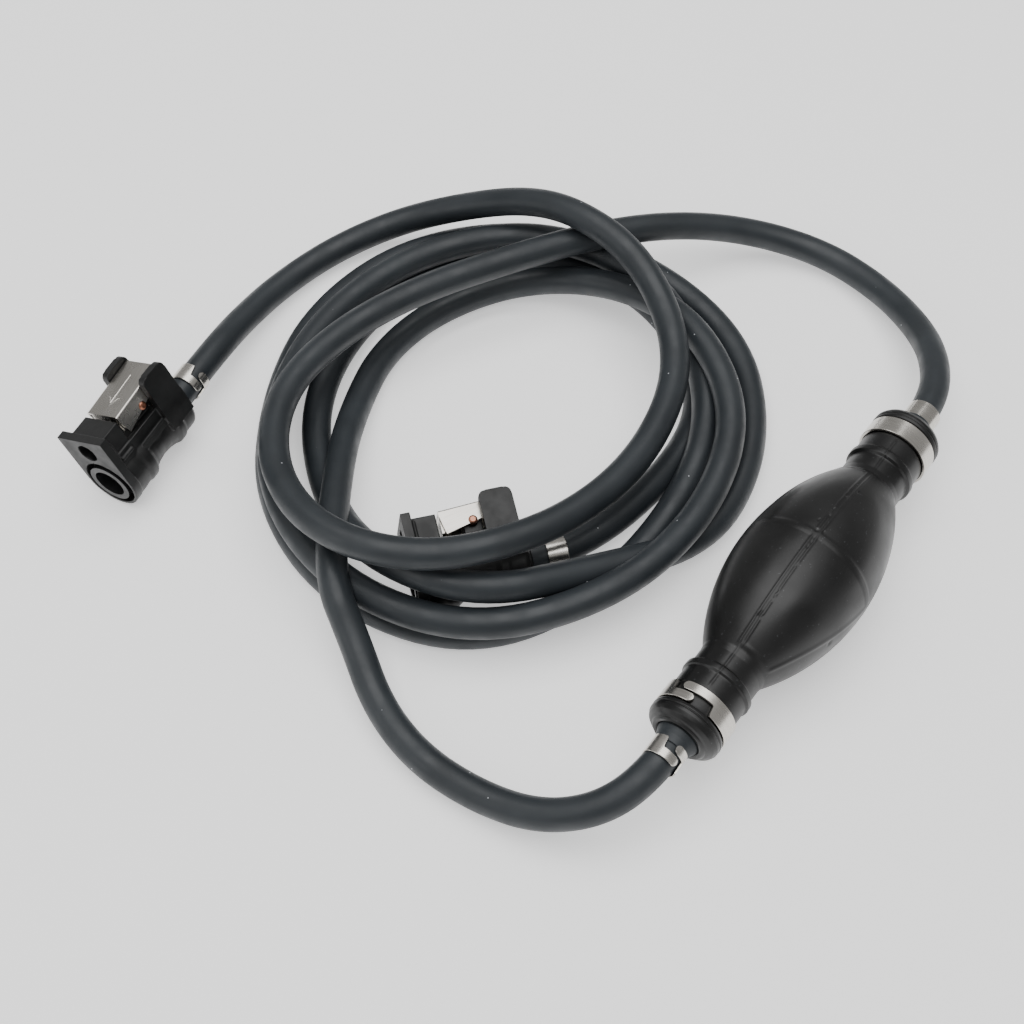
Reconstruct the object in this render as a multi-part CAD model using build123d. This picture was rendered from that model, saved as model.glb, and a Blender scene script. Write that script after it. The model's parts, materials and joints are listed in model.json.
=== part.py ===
from build123d import *
import math
import os

# Primer bulb fuel line: a rubber squeeze bulb with a check valve at each end, two hoses
# and two quick couplings with sprung latch levers.
# Frame: +X runs along the bulb in the direction of flow, +Z is up, the origin is on the
# ground under the middle of the bulb.  All sizes are in millimetres.

# ---- driving dimensions -------------------------------------------------------------
HOSE_R = 6.0                # hose outside radius (8 mm bore, 12 mm outside)
FIT_GAP = 0.05              # radial clearance of pressed and running fits
CLAMP_GAP = 0.3             # clamp bands stand this far off what they grip

BULB_R = 26.2               # widest radius of the bulb
BULB_ARC_R = 90.0           # radius of the bulb's side profile
BULB_WALL = 3.0
NECK_R = 12.4
NECK_BORE_R = 9.6
NECK_RIDGE_R = 13.6
NECK_RIDGE_X = (57.0, 59.5)
COLLAR_R = 12.9             # the stretch of neck that the band sits on
LIP_R = 13.9
LIP_X = (76.3, 83.5)
LIP_HOLE_R = 7.0
CAVITY_END_X = 46.0
AXIS_Z = BULB_R             # the bulb rests on its belly

BAND_X = (68.0, 75.7)
BAND_R = (13.2, 14.2)
BAND_TAB_R = 14.9

HOSE_CLAMP_X = (87.0, 95.0)
CLAMP_R = (HOSE_R + CLAMP_GAP, 7.0)
CLAMP_TAB_R = 7.7

PLUG_X = (54.0, 79.8)       # check valve housing inside the neck
PLUG_R = NECK_BORE_R - FIT_GAP
STEM_END_X = 98.0
STEM_R = 4.1
STEM_BORE_R = 2.6
BARB_R = 4.7
CHAMBER_R = 7.0
CHAMBER_LENGTH = 16.0
VALVE_STEM_R = 1.3
CHECK_SEAT_BORE_R = 3.5
CHECK_SEAT_T = 2.0
CHECK_POPPET_R = 5.2
CHECK_SPRING_R = (2.4, 3.6)
CHECK_CAGE_T = 1.4
CAGE_PORT_R = 1.4
CAGE_PORT_RING_R = 4.3
SPRING_PITCH = 1.6

# Coupling, in its own frame: +x from the mating face to the hose, +z towards the lever.
PLATE_HALF_WIDTH = 12.3
PLATE_TOP_Z = 24.0
PLATE_T = 4.0
PORT_GROOVE_R = 11.4
PORT_GROOVE_DEPTH = 5.0
SLEEVE_R = (6.5, 8.9)
SLEEVE_X = (-0.4, 11.0)
GUIDE_R = 4.2
GUIDE_Z = 17.2
BLOCK_X = 13.3              # the front block ends here
DECK_Z = 12.5               # body height under the lever
BODY_HALF_WIDTH = 9.6
BODY_END_X = 44.0
EAR_X = (30.5, 43.5)
EAR_Y = (8.6, 12.0)
EAR_TOP_Z = 27.0
VALVE_BORE_R = 6.2
VALVE_BORE_X = (11.0, 31.0)
TAIL_END_X = 64.0
LEVER_X = (14.6, 42.0)
LEVER_HALF_WIDTH = 7.9
LEVER_T = 1.2
LEVER_FRONT_Z = 23.4
LEVER_REAR_Z = 25.0
LEVER_PIN_X = 27.0
LEVER_PIN_Z = 17.4
LEVER_PIN_R = 1.5
LEVER_PIN_HEAD_R = 2.1
LUG_HALF_WIDTH = 5.8
LEVER_SPRING_X = 37.0
LEVER_SPRING_R = (1.9, 3.0)
LEVER_SPRING_TOP_Z = 22.9
TAIL_COLLAR_R = 6.6
SEAT_WASHER_X = (11.1, 12.8)
SEAT_WASHER_BORE_R = 3.4
POPPET_NOSE_R = 2.4
POPPET_HEAD_R = 5.3
POPPET_HEAD_X = (13.0, 15.0)
POPPET_STEM_END_X = 30.0
POPPET_SPRING_R = (3.2, 4.4)
STEM_GUIDE_X = (28.8, 30.9)
GUIDE_PORT_R = 1.2
GUIDE_PORT_RING_R = 3.8
COUPLING_CLAMP_X = (52.0, 60.0)

# Where the two couplings lie: mating port centre, yaw, pitch and roll in degrees.
ENGINE_PLACE = ((-116.4, 242.7, 13.6), 9.0, 2.4, -21.4)
TANK_PLACE = ((-81.9, 118.6, 12.9), -38.2, -2.0, -72.4)

# Hose routes, from the bulb outwards.
OUTLET_ROUTE = [
    (84, 0, AXIS_Z), (106, 0, AXIS_Z), (129, 8, 22.5), (149, 26, 14), (162, 52, 8), (164, 82, 7),
    (152, 111, 13), (127, 134, 24), (96, 154, 32), (62, 177, 32), (24, 198, 32), (-12, 209, 32),
    (-47, 208, 32), (-75, 191, 33), (-92, 164, 37), (-95, 135, 41), (-84, 109, 42), (-62, 91, 40),
    (-34, 80, 35), (-2, 76, 31), (29, 80, 30), (56, 91, 31), (75, 111, 36), (88, 137, 43),
    (94, 166, 45.5), (94, 193, 38), (83, 219, 24), (63, 241, 12), (36, 256, 6.5), (6, 262, 6.5),
    (-22, 260, 11),
]
INLET_ROUTE = [
    (-84, 0, AXIS_Z), (-104, 0, AXIS_Z), (-121, 7, 21), (-133, 23, 13), (-138, 48, 8),
    (-138, 74, 6.3), (-131, 99, 8), (-118, 121, 13.5), (-104, 140.5, 23.5),
]
TAIL_MEETS_COIL = (-3, 67, 9)
TAIL_RUN = (46.0, 70.0)     # straight run of a hose off the coupling, along the coupling's x

# The coil of the inlet hose: centre and half axes of its outer and inner outlines.
COIL_OUTER = ((6, 145), (108, 98))
COIL_INNER = ((9, 134), (71, 52))
COIL_CROWN_OUTER = ((6, 146), (97, 89))
COIL_CROWN_INNER = ((9, 138), (80, 62))
COIL_LOW_Z = 13.0
COIL_TOP_Z = 23.7

FLOW_ENDS = {"inlet": -1, "outlet": 1}

parts = {}


# ---- helpers ------------------------------------------------------------------------
def along_x(radius, x0, x1):
    """A cylinder about the X axis from x0 to x1."""
    disc = Plane.YZ.offset(min(x0, x1)) * Circle(radius)
    return extrude(disc, abs(x1 - x0))


def ring_x(inner, outer, x0, x1):
    """A ring about the X axis from x0 to x1."""
    return along_x(outer, x0, x1) - along_x(inner, x0 - 1, x1 + 1)


def block(x, y, z):
    """A box given by its low and high limits on each axis."""
    centre = ((x[0] + x[1]) / 2, (y[0] + y[1]) / 2, (z[0] + z[1]) / 2)
    return Pos(*centre) * Box(x[1] - x[0], y[1] - y[0], z[1] - z[0])


def turned(outline):
    """A solid turned about the X axis from (x, radius) points."""
    face = make_face(Polyline(*[(x, r) for x, r in outline], close=True))
    return revolve(face, Axis.X)


def placed_on_axis(shape, side):
    """Put a shape made about X onto the bulb's axis, mirrored for the inlet end."""
    if side < 0:
        shape = mirror(shape, Plane.YZ)
    return Pos(0, 0, AXIS_Z) * shape


def coupling_plane(place):
    """The coupling's own frame in the part's frame."""
    origin, yaw, pitch, roll = place
    yaw, pitch, roll = math.radians(yaw), math.radians(pitch), math.radians(roll)
    forward = Vector(math.cos(yaw) * math.cos(pitch), math.sin(yaw) * math.cos(pitch), math.sin(pitch))
    left = Vector(-math.sin(yaw), math.cos(yaw), 0)
    up = forward.cross(left)
    rolled_up = up * math.cos(roll) - left * math.sin(roll)
    return Plane(origin=origin, x_dir=forward, z_dir=rolled_up)


def corner_radii(points):
    """The largest tangent arc that each corner of a route leaves room for."""
    radii = []
    for before, here, after in zip(points, points[1:], points[2:]):
        run_in = Vector(*here) - Vector(*before)
        run_out = Vector(*after) - Vector(*here)
        half_turn = math.radians(run_in.get_angle(run_out)) / 2
        radii.append(0.45 * min(run_in.length, run_out.length) / math.tan(half_turn))
    return radii


def hose(name, points):
    """A round tube along straight runs joined by tangent arcs."""
    radii = corner_radii(points)
    path = FilletPolyline(*points, radius=radii)
    section = Plane(origin=path @ 0, z_dir=path % 0) * Circle(HOSE_R)
    tube = sweep(section, path=path)
    wanted = math.pi * HOSE_R ** 2 * path.length
    print(name, "length", round(path.length), "radii", [round(r) for r in radii])
    print("   volume over section x length:", round(tube.volume / wanted, 4))
    return tube


def tab_lock_clamp(radii, tab_r, x):
    """A flat band with a tongue locked in a slot on its outside."""
    inner, outer = radii
    middle = (x[0] + x[1]) / 2
    band = ring_x(inner, outer, *x)
    tongue = ring_x(outer - 0.2, tab_r, middle - 1.0, x[1] - 0.6)
    sector = block((x[0] - 1, x[1] + 1), (-outer * 0.75, outer * 0.75), (0, 2 * outer))
    return band + tongue & (band + sector)


# ---- bulb and its fittings ----------------------------------------------------------
def bulb():
    """The squeeze bulb: a hollow moulding with an open neck at each end."""
    neck_start = math.sqrt(BULB_ARC_R ** 2 - (BULB_ARC_R - BULB_R + NECK_R) ** 2)
    inner_arc_r = BULB_ARC_R - BULB_WALL
    inner_top = BULB_R - BULB_WALL
    with BuildPart() as body:
        with BuildSketch(Plane.XY):
            with BuildLine():
                side = ThreePointArc((-neck_start, NECK_R), (0, BULB_R), (neck_start, NECK_R))
                right = Polyline(
                    (neck_start, NECK_R), (NECK_RIDGE_X[0], NECK_R), (NECK_RIDGE_X[0] + 0.6, NECK_RIDGE_R),
                    (NECK_RIDGE_X[1], NECK_RIDGE_R), (NECK_RIDGE_X[1], COLLAR_R), (LIP_X[0], COLLAR_R),
                    (LIP_X[0], LIP_R), (LIP_X[0] + 2.2, LIP_R), (LIP_X[1] - 0.8, LIP_R - 2.6),
                    (LIP_X[1], LIP_R - 3.6), (LIP_X[1], 0),
                )
                mirror(right, about=Plane.YZ)
                Line((-LIP_X[1], 0), (LIP_X[1], 0))
            make_face()
        revolve(axis=Axis.X)
    cavity_r_at_end = inner_top - (inner_arc_r - math.sqrt(inner_arc_r ** 2 - CAVITY_END_X ** 2))
    with BuildPart() as cavity:
        with BuildSketch(Plane.XY):
            with BuildLine():
                start = (-CAVITY_END_X, cavity_r_at_end)
                end = (CAVITY_END_X, cavity_r_at_end)
                ThreePointArc(start, (0, inner_top), end)
                Polyline(end, (CAVITY_END_X, 0), (-CAVITY_END_X, 0), start)
            make_face()
        revolve(axis=Axis.X)
    shell = body.part - cavity.part
    shell -= along_x(NECK_BORE_R, -PLUG_X[1] - 0.1, PLUG_X[1] + 0.1)
    shell -= along_x(LIP_HOLE_R, -LIP_X[1] - 1, LIP_X[1] + 1)
    return Pos(0, 0, AXIS_Z) * shell


def check_valve(side, start):
    """Seat, poppet, spring and cage of one check valve, in flow order from x = start."""
    end = start + CHAMBER_LENGTH
    cage_x = (end - 2.1 - CHECK_CAGE_T, end - 2.1)
    seat = ring_x(CHECK_SEAT_BORE_R, CHAMBER_R - FIT_GAP, start, start + CHECK_SEAT_T)
    face = start + CHECK_SEAT_T + 0.1
    poppet = along_x(CHECK_POPPET_R, face, face + 1.5) + along_x(VALVE_STEM_R, face, cage_x[1] - 0.3)
    spring = spring_sleeve(*CHECK_SPRING_R, face + 1.7, cage_x[0] - 0.2)
    cage = drilled_disc(cage_x, CHAMBER_R, CAGE_PORT_R, CAGE_PORT_RING_R)
    name = "inlet" if side < 0 else "outlet"
    for label, shape in (("seat", seat), ("poppet", poppet), ("spring", spring), ("cage", cage)):
        parts[f"check_{label}_{name}"] = Pos(0, 0, AXIS_Z) * shape


def drilled_disc(x, bore_r, port_r, port_ring_r):
    """A disc in a bore that guides a valve stem, with six ports for the flow."""
    disc = ring_x(VALVE_STEM_R + FIT_GAP, bore_r - FIT_GAP, *x)
    for angle in range(0, 360, 60):
        disc -= Rot(angle, 0, 0) * Pos(0, port_ring_r, 0) * along_x(port_r, x[0] - 1, x[1] + 1)
    return disc


def spring_sleeve(inner, outer, x0, x1):
    """A coil spring drawn as its closed turns: a sleeve with a groove between turns."""
    sleeve = ring_x(inner, outer, x0, x1)
    turns = int((x1 - x0) / SPRING_PITCH)
    for turn in range(1, turns):
        x = x0 + turn * (x1 - x0) / turns
        sleeve -= ring_x((inner + outer) / 2 - 0.1, outer + 1, x - 0.25, x + 0.25)
    return sleeve


def barbed_stem(x0, x1, spacing):
    """A hose stem from x0 to x1 with three barbs near its end."""
    stem = along_x(STEM_R, x0, x1)
    for ridge in range(3):
        x = x1 - 2.6 - spacing * ridge
        stem += turned([(x, 0), (x, BARB_R), (x + 0.5, BARB_R), (x + 2.4, STEM_R), (x + 2.4, 0)])
    return stem


def plug(chamber_end):
    """A check valve housing with its hose stem, made for the outlet end."""
    body = along_x(PLUG_R, *PLUG_X) + barbed_stem(PLUG_X[1], STEM_END_X, 3.6)
    body -= along_x(CHAMBER_R, PLUG_X[0] - 1, chamber_end)
    body -= along_x(STEM_BORE_R, PLUG_X[0] - 1, STEM_END_X + 1)
    return body


def build_bulb_assembly():
    """The bulb, its bands, plugs, check valves and the two hose clamps next to it."""
    parts["bulb"] = bulb()
    valve_start = PLUG_X[0] + 1.0
    valve_end = valve_start + CHAMBER_LENGTH
    chamber_ends = {"inlet": valve_end, "outlet": valve_end - CHECK_SEAT_T}
    for end_name, side in FLOW_ENDS.items():
        parts[f"valve_housing_{end_name}"] = placed_on_axis(plug(chamber_ends[end_name]), side)
        band = tab_lock_clamp(BAND_R, BAND_TAB_R, BAND_X)
        parts[f"band_clamp_{end_name}"] = placed_on_axis(band, side)
        clamp = tab_lock_clamp(CLAMP_R, CLAMP_TAB_R, HOSE_CLAMP_X)
        parts[f"hose_clamp_{end_name}"] = placed_on_axis(clamp, side)
    check_valve(1, valve_start)
    check_valve(-1, -valve_end)


# ---- coupling -----------------------------------------------------------------------
def coupling_body():
    """Moulded body: shield-shaped face plate, front block, waisted grip, ears and tail."""
    plate_profile = Plane.YZ * (
        Pos(0, PLATE_TOP_Z / 2) * Rectangle(2 * PLATE_HALF_WIDTH, PLATE_TOP_Z) + Circle(PLATE_HALF_WIDTH)
    )
    body = extrude(plate_profile, PLATE_T)
    body += block((0, BLOCK_X), (-9.0, 9.0), (0, PLATE_TOP_Z - 1.6))
    body += block((0, BODY_END_X), (-BODY_HALF_WIDTH, BODY_HALF_WIDTH), (0, DECK_Z))
    body += turned([
        (0, 0), (0, 11.4), (11, 11.4), (12.5, 12.2), (15, 12.2), (17, 10.8), (22, 9.9), (27, 9.9),
        (31, 10.9), (32.5, 12.0), (35.5, 12.0), (37, 11.4), (42.5, 11.4), (BODY_END_X, 10.2),
        (BODY_END_X, 0),
    ])
    for side in (-1, 1):
        ear = block(EAR_X, (min(side * EAR_Y[0], side * EAR_Y[1]), max(side * EAR_Y[0], side * EAR_Y[1])),
                    (0, EAR_TOP_Z))
        ear = fillet(ear.edges().filter_by(Axis.Y).group_by(Axis.Z)[-1], 3.0)
        body += ear
        body += block((16, 33), sorted((side * 9.0, side * 10.6)), (3.5, 6.2))
    lug_x = (LEVER_PIN_X - 4, LEVER_PIN_X + 4)
    body += block(lug_x, (-LUG_HALF_WIDTH, LUG_HALF_WIDTH), (0, LEVER_PIN_Z + 3.2))
    body += barbed_stem(BODY_END_X, TAIL_END_X, 4.2) + along_x(TAIL_COLLAR_R, BODY_END_X, BODY_END_X + 1.7)
    body -= ring_x(SLEEVE_R[1], PORT_GROOVE_R, -1, PORT_GROOVE_DEPTH)
    body -= along_x(SLEEVE_R[1] + FIT_GAP, -1, SLEEVE_X[1])
    body -= along_x(VALVE_BORE_R, VALVE_BORE_X[0] - 1, VALVE_BORE_X[1])
    body -= along_x(STEM_BORE_R, VALVE_BORE_X[1] - 1, TAIL_END_X + 1)
    body -= Pos(0, 0, GUIDE_Z) * along_x(GUIDE_R, -1, BLOCK_X + 1)
    pin_hole = Cylinder(LEVER_PIN_R + FIT_GAP, 40, rotation=(90, 0, 0))
    body -= Pos(LEVER_PIN_X, 0, LEVER_PIN_Z) * pin_hole
    return body


def latch_lever():
    """Folded stainless lever: top plate, two cheeks and a front lip."""
    side_profile = Polyline(
        (LEVER_X[0], LEVER_FRONT_Z), (16.0, 13.8), (17.4, 13.6), (30.4, 15.6), (41.0, 19.5),
        (LEVER_X[1], LEVER_REAR_Z), close=True,
    )
    outside = extrude(Plane.XZ * make_face(side_profile), LEVER_HALF_WIDTH, both=True)
    inside = Pos(0, 0, -LEVER_T) * extrude(
        Plane.XZ * make_face(Polyline(
            (LEVER_X[0] + LEVER_T, LEVER_FRONT_Z), (LEVER_X[0] + LEVER_T, 0), (LEVER_X[1] + 2, 0),
            (LEVER_X[1] + 2, LEVER_REAR_Z + 0.1), close=True)),
        LEVER_HALF_WIDTH - LEVER_T, both=True)
    lever = outside - inside
    lever -= Pos(LEVER_PIN_X, 0, LEVER_PIN_Z) * Cylinder(LEVER_PIN_R, 40, rotation=(90, 0, 0))
    lever -= Pos(0, 0, GUIDE_Z - 5.0) * along_x(GUIDE_R - 0.6, LEVER_X[0] - 1, LEVER_X[0] + 3)
    return lever


def lever_pin():
    """The pin through the lever's cheeks, with a low round head at each end."""
    head_y = LEVER_HALF_WIDTH + 0.55
    shaft = Cylinder(LEVER_PIN_R, 2 * head_y, rotation=(90, 0, 0))
    heads = [
        Pos(0, side * (LEVER_HALF_WIDTH + 0.3), 0) * Cylinder(LEVER_PIN_HEAD_R, 0.5, rotation=(90, 0, 0))
        for side in (-1, 1)
    ]
    return Pos(LEVER_PIN_X, 0, LEVER_PIN_Z) * (shaft + heads[0] + heads[1])


def build_coupling(prefix, place):
    """All pieces of one coupling, placed in the part's frame."""
    frame = coupling_plane(place).location
    spring_z = (DECK_Z + 0.1, LEVER_SPRING_TOP_Z)
    lever_spring = Rot(0, -90, 0) * spring_sleeve(*LEVER_SPRING_R, *spring_z)
    poppet = along_x(POPPET_NOSE_R, SLEEVE_X[1], POPPET_HEAD_X[0]) + along_x(POPPET_HEAD_R, *POPPET_HEAD_X)
    poppet += along_x(VALVE_STEM_R, POPPET_HEAD_X[1], POPPET_STEM_END_X)
    spring_x = (POPPET_HEAD_X[1] + 0.3, STEM_GUIDE_X[0] - 0.2)
    shapes = {
        "body": coupling_body(),
        "port_sleeve": ring_x(*SLEEVE_R, *SLEEVE_X),
        "seat_washer": ring_x(SEAT_WASHER_BORE_R, VALVE_BORE_R - FIT_GAP, *SEAT_WASHER_X),
        "poppet": poppet,
        "poppet_spring": spring_sleeve(*POPPET_SPRING_R, *spring_x),
        "stem_guide": drilled_disc(STEM_GUIDE_X, VALVE_BORE_R, GUIDE_PORT_R, GUIDE_PORT_RING_R),
        "latch_lever": latch_lever(),
        "lever_pin": lever_pin(),
        "lever_spring": Pos(LEVER_SPRING_X, 0, 0) * lever_spring,
        "hose_clamp": tab_lock_clamp(CLAMP_R, CLAMP_TAB_R, COUPLING_CLAMP_X),
    }
    for label, shape in shapes.items():
        parts[f"{prefix}_{label}"] = frame * shape


# ---- hoses --------------------------------------------------------------------------
def hose_off_coupling(place):
    """Where a hose leaves its coupling: the coupling's end first, then the run's end."""
    frame = coupling_plane(place)
    return [tuple(frame.from_local_coords((x, 0, 0))) for x in TAIL_RUN]


def elliptic_ring(outer, inner, z0, z1):
    """An upright ring between two ellipses, from z0 to z1."""
    (outer_x, outer_y), (outer_a, outer_b) = outer
    (inner_x, inner_y), (inner_a, inner_b) = inner
    outline = Pos(outer_x, outer_y) * Ellipse(outer_a, outer_b)
    outline -= Pos(inner_x, inner_y) * Ellipse(inner_a, inner_b)
    return Pos(0, 0, z0) * extrude(outline, z1 - z0)


def inlet_coil():
    """The outer shape of the coiled turns, cut clear of the coupling that lies in them."""
    coil = elliptic_ring(COIL_OUTER, COIL_INNER, 0, COIL_LOW_Z)
    coil += elliptic_ring(COIL_CROWN_OUTER, COIL_CROWN_INNER, COIL_LOW_Z, COIL_TOP_Z)
    room = block((-4, 66), (-14, 60), (-14.5, 30))
    return coil - coupling_plane(TANK_PLACE).location * room


def build_hoses():
    """Both hoses, each from the bulb to its coupling."""
    engine_end, engine_run = hose_off_coupling(ENGINE_PLACE)
    parts["outlet_hose"] = hose("outlet_hose", OUTLET_ROUTE + [engine_run, engine_end])
    parts["inlet_hose"] = hose("inlet_hose", INLET_ROUTE)
    parts["inlet_hose_coil"] = inlet_coil()
    tank_end, tank_run = hose_off_coupling(TANK_PLACE)
    parts["inlet_hose_tail"] = hose("inlet_hose_tail", [TAIL_MEETS_COIL, tank_run, tank_end])


build_bulb_assembly()
build_coupling("engine_coupling", ENGINE_PLACE)
build_coupling("tank_coupling", TANK_PLACE)
build_hoses()

os.makedirs("parts", exist_ok=True)
for node, shape in parts.items():
    export_step(shape, f"parts/{node}.step")
print(len(parts), "nodes")
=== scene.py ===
import bmesh
import bpy
import json
import logging
import math
import random
from dataclasses import dataclass, field
from enum import Enum
from mathutils import Matrix, Vector

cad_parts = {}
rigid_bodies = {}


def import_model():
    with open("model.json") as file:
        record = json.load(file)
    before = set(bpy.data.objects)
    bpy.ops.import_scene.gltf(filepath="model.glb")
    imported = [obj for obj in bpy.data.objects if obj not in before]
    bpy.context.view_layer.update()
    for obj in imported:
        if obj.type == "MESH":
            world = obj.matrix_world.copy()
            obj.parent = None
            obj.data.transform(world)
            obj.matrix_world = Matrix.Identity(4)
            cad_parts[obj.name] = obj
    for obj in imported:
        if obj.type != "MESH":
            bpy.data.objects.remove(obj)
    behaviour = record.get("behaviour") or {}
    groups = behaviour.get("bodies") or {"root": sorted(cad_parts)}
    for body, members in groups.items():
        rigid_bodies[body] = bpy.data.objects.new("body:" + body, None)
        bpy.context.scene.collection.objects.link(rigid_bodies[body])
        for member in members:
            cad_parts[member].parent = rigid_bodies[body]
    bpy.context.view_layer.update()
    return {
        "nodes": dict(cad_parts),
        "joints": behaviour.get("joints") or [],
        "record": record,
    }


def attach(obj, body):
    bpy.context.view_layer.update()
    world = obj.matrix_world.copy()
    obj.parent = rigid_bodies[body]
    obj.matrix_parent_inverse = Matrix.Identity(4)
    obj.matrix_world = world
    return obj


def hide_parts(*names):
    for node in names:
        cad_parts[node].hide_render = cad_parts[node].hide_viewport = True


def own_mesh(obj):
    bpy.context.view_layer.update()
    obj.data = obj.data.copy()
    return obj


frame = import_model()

# A primer bulb fuel line: squeeze bulb, two rubber hoses, band clamps and two quick couplings.
# Meshes are drawn in millimetres in a part's own frame and then placed, in metres, in the row's frame.

MM = 0.001
HOSE_R = 6.0                    # outside radius of the hose
AXIS_Z = 26.2                   # height of the bulb's axis
LOG = logging.getLogger("fuel_line")

Point = tuple[float, float, float]
Outline = list[tuple[float, float]]
Mesh = bpy.types.Mesh
Piece = bpy.types.Object
Tree = bpy.types.NodeTree
Socket = bpy.types.NodeSocket


# ---- small tools --------------------------------------------------------------------
def linear(hex_colour: str) -> tuple[float, float, float, float]:
    """Turn an sRGB hex colour into linear RGBA.

    Args:
        hex_colour: six hex digits, such as "3f474e".

    Returns:
        Linear red, green, blue and an alpha of 1.
    """
    channels = [int(hex_colour[i:i + 2], 16) / 255 for i in (0, 2, 4)]
    converted = [c / 12.92 if c <= 0.04045 else ((c + 0.055) / 1.055) ** 2.4 for c in channels]
    return (*converted, 1.0)


def add_node(tree: Tree, kind: str, inputs: dict | None = None, **settings) -> bpy.types.Node:
    """Add a node, set its properties, and set or link its inputs.

    Args:
        tree: the node tree that gets the node.
        kind: the node's type name.
        inputs: input name or number to a value, or to an output socket to link from.
        settings: the node's own properties.

    Returns:
        The new node.
    """
    node = tree.nodes.new(kind)
    for name, value in settings.items():
        setattr(node, name, value)
    for name, value in (inputs or {}).items():
        if isinstance(value, Socket):
            tree.links.new(value, node.inputs[name])
        else:
            node.inputs[name].default_value = value
    return node


def along_x_frame(side: int = 1) -> Matrix:
    """The bulb's own frame, whose x axis is the bulb's axis.

    Args:
        side: 1, or -1 to turn the frame end for end.

    Returns:
        The frame, from millimetres to metres.
    """
    return Matrix.Translation((0, 0, AXIS_Z * MM)) @ Matrix.Diagonal((side * MM, side * MM, MM, 1))


def joint_named(name: str) -> dict:
    """Look up a packed joint.

    Args:
        name: the joint's name.

    Returns:
        Its entry in the frame.
    """
    return next(j for j in frame["joints"] if j["name"] == name)


def new_object(name: str, data: bpy.types.ID | None) -> Piece:
    """Put a new object in the scene.

    Args:
        name: its name.
        data: its mesh, curve, light or camera.

    Returns:
        The object.
    """
    piece = bpy.data.objects.new(name, data)
    bpy.context.scene.collection.objects.link(piece)
    return piece


def place(mesh: Mesh, name: str, matrix: Matrix, material: bpy.types.Material,
          sharp_deg: float = 35.0) -> Piece:
    """Make an object of a mesh drawn in millimetres, with its place taken into the mesh.

    Args:
        mesh: the mesh in its own frame.
        name: the piece's name.
        matrix: the frame that the mesh is drawn in, scale included.
        material: the piece's finish.
        sharp_deg: edges that turn more than this stay sharp.

    Returns:
        The new object, at the origin.
    """
    mesh.transform(matrix)
    if matrix.determinant() < 0:
        mesh.flip_normals()
    mesh.shade_smooth()
    mesh.set_sharp_from_angle(angle=math.radians(sharp_deg))
    mesh.materials.clear()
    mesh.materials.append(material)
    mesh.name = name
    return new_object(name, mesh)


def baked(draft: Piece) -> Mesh:
    """Take the plain mesh that a draft's modifiers make, and remove the draft.

    Args:
        draft: an object with modifiers.

    Returns:
        The finished mesh.
    """
    graph = bpy.context.evaluated_depsgraph_get()
    mesh = bpy.data.meshes.new_from_object(draft.evaluated_get(graph))
    bpy.data.objects.remove(draft)
    return mesh


def join_rows(form: bmesh.types.BMesh, flat: bmesh.types.BMLayerItem, rows: list[list[bmesh.types.BMVert]],
              marks: list[Outline], closed: bool) -> None:
    """Join rows of points with faces, and map each face flat.

    Args:
        form: the form that holds the points.
        flat: its flat map.
        rows: the points, row by row.
        marks: each point's place on the flat map.
        closed: whether a row's last point joins its first.
    """
    size = len(rows[0])
    for k in range(len(rows) - 1):
        for j in range(size if closed else size - 1):
            after = (j + 1) % size
            corners = [(k, j), (k + 1, j), (k + 1, after), (k, after)]
            face = form.faces.new([rows[a][b] for a, b in corners])
            for loop, (a, b) in zip(face.loops, corners):
                loop[flat].uv = marks[a][b]


def rounded(corners: Outline, radius: float, steps: int = 4, closed: bool = True) -> Outline:
    """Round the corners of an outline with arcs.

    Args:
        corners: the outline's corner points.
        radius: the wanted radius, made smaller where a side is short.
        steps: points on each arc, less one.
        closed: whether the last point joins the first.

    Returns:
        The outline with its corners rounded.
    """
    count = len(corners)
    result: Outline = []
    for i, corner in enumerate(corners):
        if not closed and i in (0, count - 1):
            result.append(corner)
            continue
        here = Vector(corner)
        back = Vector(corners[i - 1]) - here
        ahead = Vector(corners[(i + 1) % count]) - here
        half = back.angle(ahead) / 2
        reach = min(radius / math.tan(half), 0.45 * back.length, 0.45 * ahead.length)
        start, end = here + back.normalized() * reach, here + ahead.normalized() * reach
        for step in range(steps + 1):
            t = step / steps
            point = start.lerp(here, t).lerp(here.lerp(end, t), t)
            result.append((point.x, point.y))
    return result


def lathe(profile: Outline, segments: int = 64, ring: bool = False, bunch: float = 0.0) -> Mesh:
    """Turn an outline of (x, radius) points about the local x axis into a closed mesh.

    Args:
        profile: the outline; one that isn't a ring starts and ends on the axis.
        segments: steps around the axis.
        ring: whether the outline is a closed loop that stays off the axis.
        bunch: how much closer the steps lie at the top and bottom, from 0 to 0.4.

    Returns:
        The closed mesh.
    """
    form = bmesh.new()
    rows: list[list[bmesh.types.BMVert]] = []
    for x, radius in profile:
        if radius < 1e-6:
            rows.append([form.verts.new((x, 0, 0))])
            continue
        even = (2 * math.pi * k / segments for k in range(segments))
        angles = (a - bunch * math.sin(2 * a) for a in even)
        rows.append([form.verts.new((x, -radius * math.sin(a), radius * math.cos(a))) for a in angles])
    pairs = list(zip(rows, rows[1:])) + ([(rows[-1], rows[0])] if ring else [])
    for first, second in pairs:
        for k in range(segments):
            after = (k + 1) % segments
            corners = [first[k % len(first)], first[after % len(first)],
                       second[after % len(second)], second[k % len(second)]]
            corners = list(dict.fromkeys(corners))
            if len(corners) > 2:
                form.faces.new(corners)
    return finish_form(form)


def finish_form(form: bmesh.types.BMesh) -> Mesh:
    """Point a closed form's faces outwards and turn it into a mesh.

    Args:
        form: the form, which is freed.

    Returns:
        The mesh.
    """
    bmesh.ops.recalc_face_normals(form, faces=form.faces)
    mesh = bpy.data.meshes.new("draft")
    form.to_mesh(mesh)
    form.free()
    return mesh


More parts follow.
